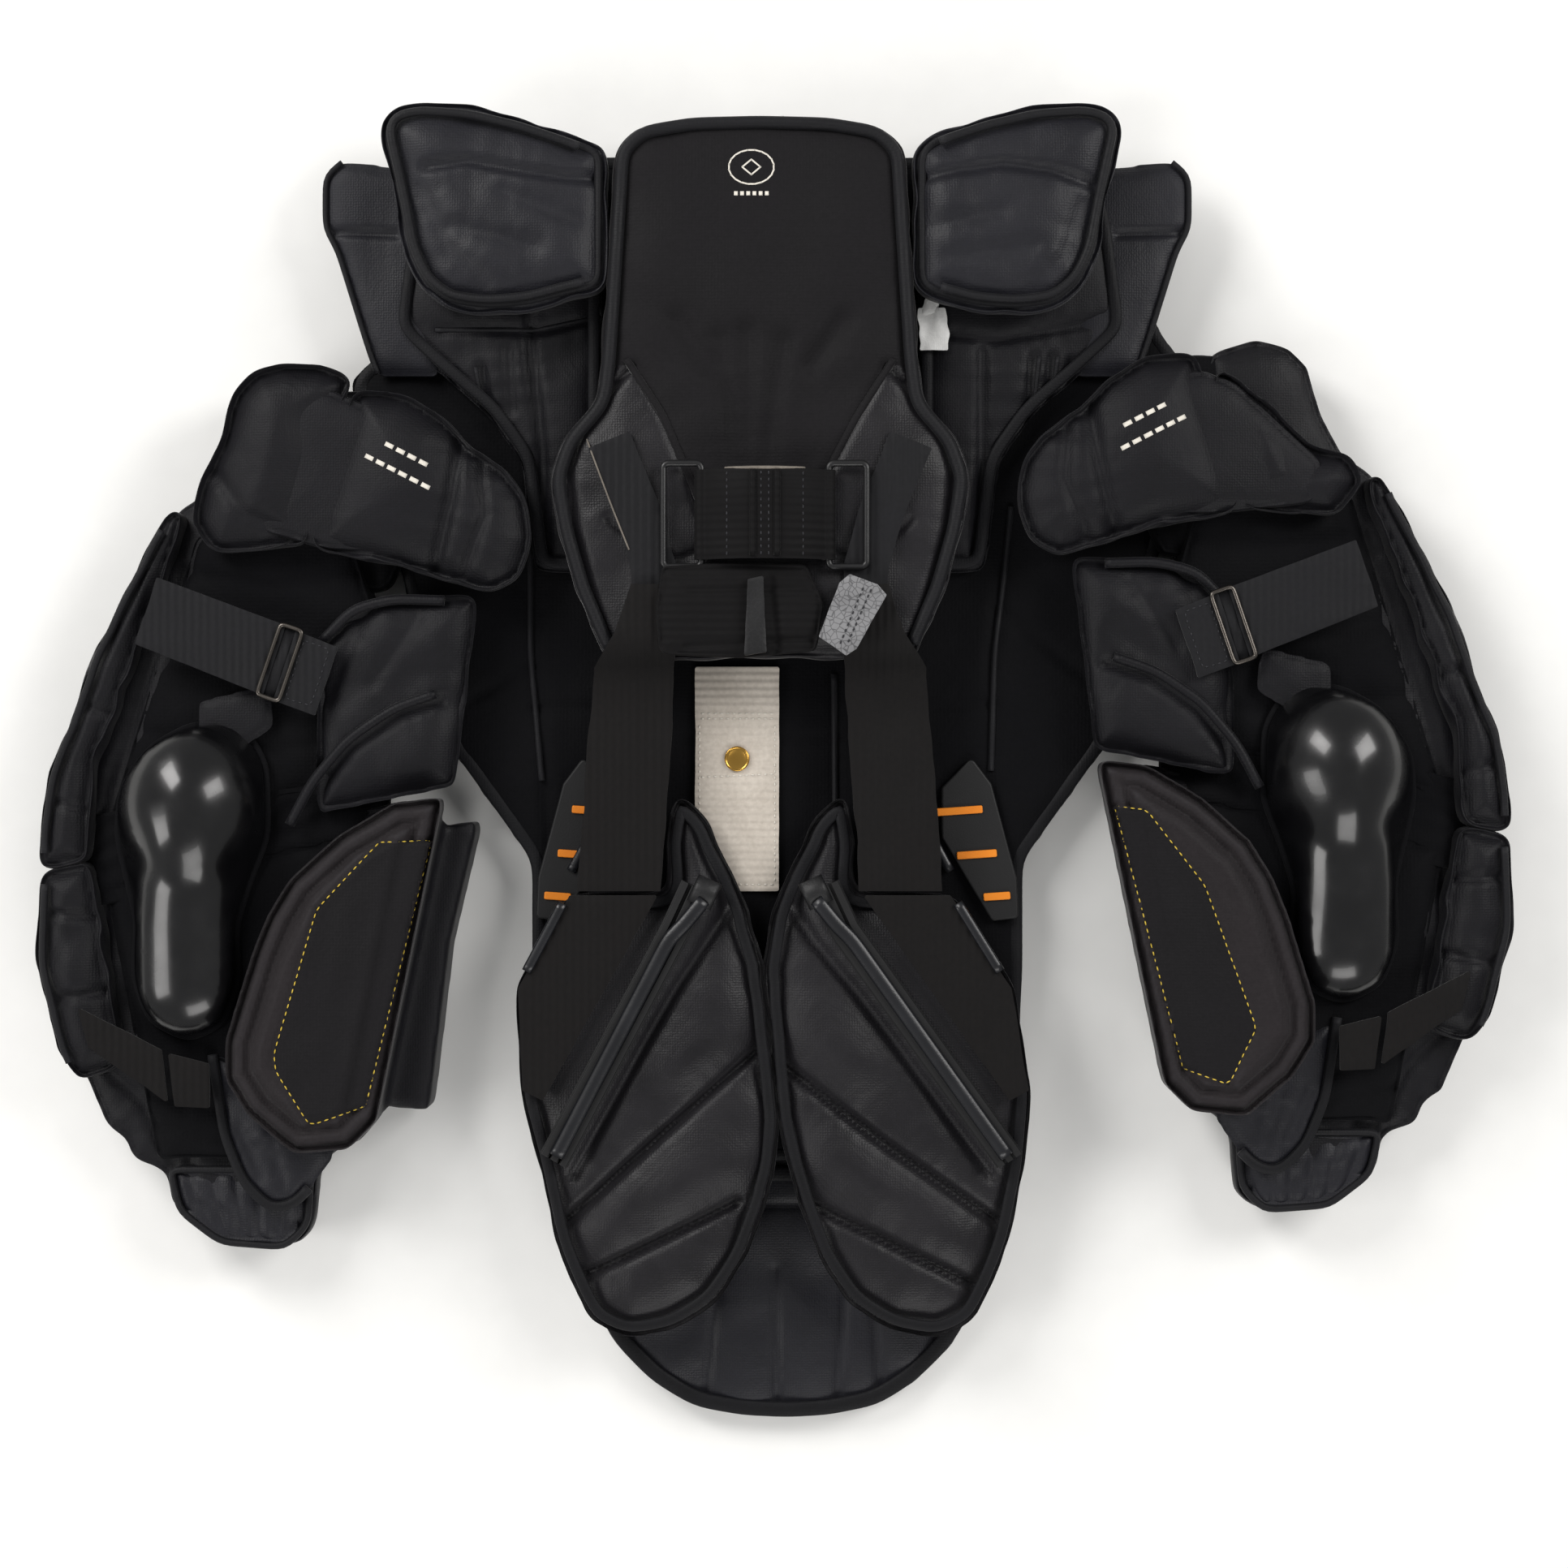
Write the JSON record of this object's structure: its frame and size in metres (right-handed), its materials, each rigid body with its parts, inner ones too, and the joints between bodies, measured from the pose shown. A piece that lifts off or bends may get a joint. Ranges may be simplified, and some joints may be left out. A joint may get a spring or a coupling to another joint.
{
  "type": "hockey goalie chest and arm protector",
  "caption": "Padded chest, back and arm protector for ice hockey, lying flat with its back up: hinged back pad, kidney wings, shoulder floaters, sleeves and elbow caps.",
  "frame": {"origin": "bottom centre of the protector on the surface that it lies on", "axes": "+Z out of the wearer's back, +Y towards the neck, +X towards the wearer's right"},
  "size_m": [0.871, 0.78, 0.1005],
  "materials": {
    "nylon_lining": "woven nylon lining",
    "quilted_nylon": "quilted oxford nylon over foam",
    "knit_cover": "brushed knit",
    "elastic": "ribbed elastic webbing",
    "white_webbing": "cotton webbing",
    "care_label": "satin label",
    "dark_vinyl": "coated vinyl",
    "grey_vinyl": "worn coated vinyl",
    "moulded_plate": "moulded nylon",
    "moulded_foam": "moulded foam, satin",
    "orange_rubber": "moulded rubber",
    "ring_wire": "black coated steel wire",
    "nickel_wire": "nickel plated wire",
    "snap_brass": "pressed brass",
    "gloss_cap": "injection moulded, glossy"
  },
  "bodies": {
    "torso": {"chest_core": "nylon_lining", "left_chest_guard": "nylon_lining", "right_chest_guard": "nylon_lining", "abdomen_guard": "nylon_lining", "collar_guard": "nylon_lining", "left_shoulder_yoke": "nylon_lining", "right_shoulder_yoke": "nylon_lining", "left_shoulder_flap": "nylon_lining", "right_shoulder_flap": "nylon_lining", "care_label": "care_label", "left_ladder_plate": "moulded_plate", "right_ladder_plate": "moulded_plate", "ladder_inserts": "orange_rubber"},
    "back_harness": {"spine_pad": "knit_cover", "upper_straps": "elastic", "left_long_strap": "elastic", "right_long_strap": "elastic", "belt_bridge": "elastic", "folded_belt": "elastic", "dark_pull_tab": "dark_vinyl", "grey_pull_tab": "grey_vinyl"},
    "left_ring": {"left_belt_ring": "ring_wire"},
    "right_ring": {"right_belt_ring": "ring_wire"},
    "snap_tail": {"snap_strap": "white_webbing", "snap_button": "snap_brass"},
    "apron": {"belly_apron": "nylon_lining"},
    "left_wing": {"left_kidney_wing": "quilted_nylon", "left_hip_strap": "elastic", "left_rib_bar": "moulded_foam"},
    "left_floater_panel": {"left_floater": "quilted_nylon"},
    "left_upper_arm": {"left_upper_sleeve": "nylon_lining", "left_biceps_outer_pad": "quilted_nylon", "left_biceps_inner_pad": "quilted_nylon", "left_shoulder_cap": "quilted_nylon", "left_inner_shoulder_pad": "quilted_nylon", "left_biceps_strap": "elastic", "left_biceps_ring": "nickel_wire"},
    "left_elbow": {"left_elbow_cap": "gloss_cap"},
    "left_forearm": {"left_forearm_sleeve": "nylon_lining", "left_elbow_wing": "quilted_nylon", "left_forearm_block": "quilted_nylon", "left_forearm_strap": "elastic", "left_wrist_cuff": "nylon_lining"},
    "right_wing": {"right_kidney_wing": "quilted_nylon", "right_hip_strap": "elastic", "right_rib_bar": "moulded_foam"},
    "right_floater_panel": {"right_floater": "quilted_nylon"},
    "right_upper_arm": {"right_upper_sleeve": "nylon_lining", "right_biceps_outer_pad": "quilted_nylon", "right_biceps_inner_pad": "quilted_nylon", "right_shoulder_cap": "quilted_nylon", "right_inner_shoulder_pad": "quilted_nylon", "right_biceps_strap": "elastic", "right_biceps_ring": "nickel_wire"},
    "right_elbow": {"right_elbow_cap": "gloss_cap"},
    "right_forearm": {"right_forearm_sleeve": "nylon_lining", "right_elbow_wing": "quilted_nylon", "right_forearm_block": "quilted_nylon", "right_forearm_strap": "elastic", "right_wrist_cuff": "nylon_lining"}
  },
  "joints": [
    {"name": "harness_lift", "type": "hinge", "parent": "torso", "child": "back_harness", "pos_m": [-0.01, 0.384, 0.078], "axis": [-1, 0, 0], "range_deg": [0, 50]},
    {"name": "snap_strap_swing", "type": "hinge", "parent": "torso", "child": "snap_tail", "pos_m": [-0.024, 0.062, 0.0304], "axis": [0, 0, 1], "range_deg": [-10, 10]},
    {"name": "apron_fold", "type": "hinge", "parent": "torso", "child": "apron", "pos_m": [0.004, -0.238, 0], "axis": [1, 0, 0], "range_deg": [0, 60]},
    {"name": "left_ring_swing", "type": "hinge", "parent": "back_harness", "child": "left_ring", "pos_m": [-0.044, 0.148, 0.0845], "axis": [0, 1, 0], "range_deg": [0, 60]},
    {"name": "left_wing_open", "type": "hinge", "parent": "torso", "child": "left_wing", "pos_m": [-0.1565, -0.2, 0.0655], "axis": [0, -1, 0], "range_deg": [0, 85]},
    {"name": "left_floater_lift", "type": "hinge", "parent": "torso", "child": "left_floater_panel", "pos_m": [-0.101, 0.32, 0.08], "axis": [0, 1, 0], "range_deg": [0, 55]},
    {"name": "left_shoulder_swing", "type": "hinge", "parent": "torso", "child": "left_upper_arm", "pos_m": [-0.22, 0.206, 0.05], "axis": [0, 0, -1], "range_deg": [0, 30]},
    {"name": "left_elbow_flex", "type": "hinge", "parent": "left_upper_arm", "child": "left_forearm", "pos_m": [-0.32, -0.0364, 0.024], "axis": [0.9803, 0.1975, 0], "range_deg": [0, 55]},
    {"name": "left_cap_follow", "type": "hinge", "parent": "left_upper_arm", "child": "left_elbow", "pos_m": [-0.32, -0.0364, 0.024], "axis": [0.9803, 0.1975, 0], "range_deg": [0, 27.5]},
    {"name": "right_ring_swing", "type": "hinge", "parent": "back_harness", "child": "right_ring", "pos_m": [0.03, 0.148, 0.0845], "axis": [0, -1, 0], "range_deg": [0, 60]},
    {"name": "right_wing_open", "type": "hinge", "parent": "torso", "child": "right_wing", "pos_m": [0.153, -0.2, 0.0655], "axis": [0, 1, 0], "range_deg": [0, 85]},
    {"name": "right_floater_lift", "type": "hinge", "parent": "torso", "child": "right_floater_panel", "pos_m": [0.081, 0.32, 0.08], "axis": [0, -1, 0], "range_deg": [0, 55]},
    {"name": "right_shoulder_swing", "type": "hinge", "parent": "torso", "child": "right_upper_arm", "pos_m": [0.217, 0.228, 0.05], "axis": [0, 0, 1], "range_deg": [0, 30]},
    {"name": "right_elbow_flex", "type": "hinge", "parent": "right_upper_arm", "child": "right_forearm", "pos_m": [0.317, -0.0144, 0.024], "axis": [0.9803, -0.1975, 0], "range_deg": [0, 55]},
    {"name": "right_cap_follow", "type": "hinge", "parent": "right_upper_arm", "child": "right_elbow", "pos_m": [0.317, -0.0144, 0.024], "axis": [0.9803, -0.1975, 0], "range_deg": [0, 27.5]}
  ],
  "couplings": [
    {"joint": "left_cap_follow", "follows": "left_elbow_flex", "ratio": 0.5},
    {"joint": "right_cap_follow", "follows": "right_elbow_flex", "ratio": 0.5}
  ]
}
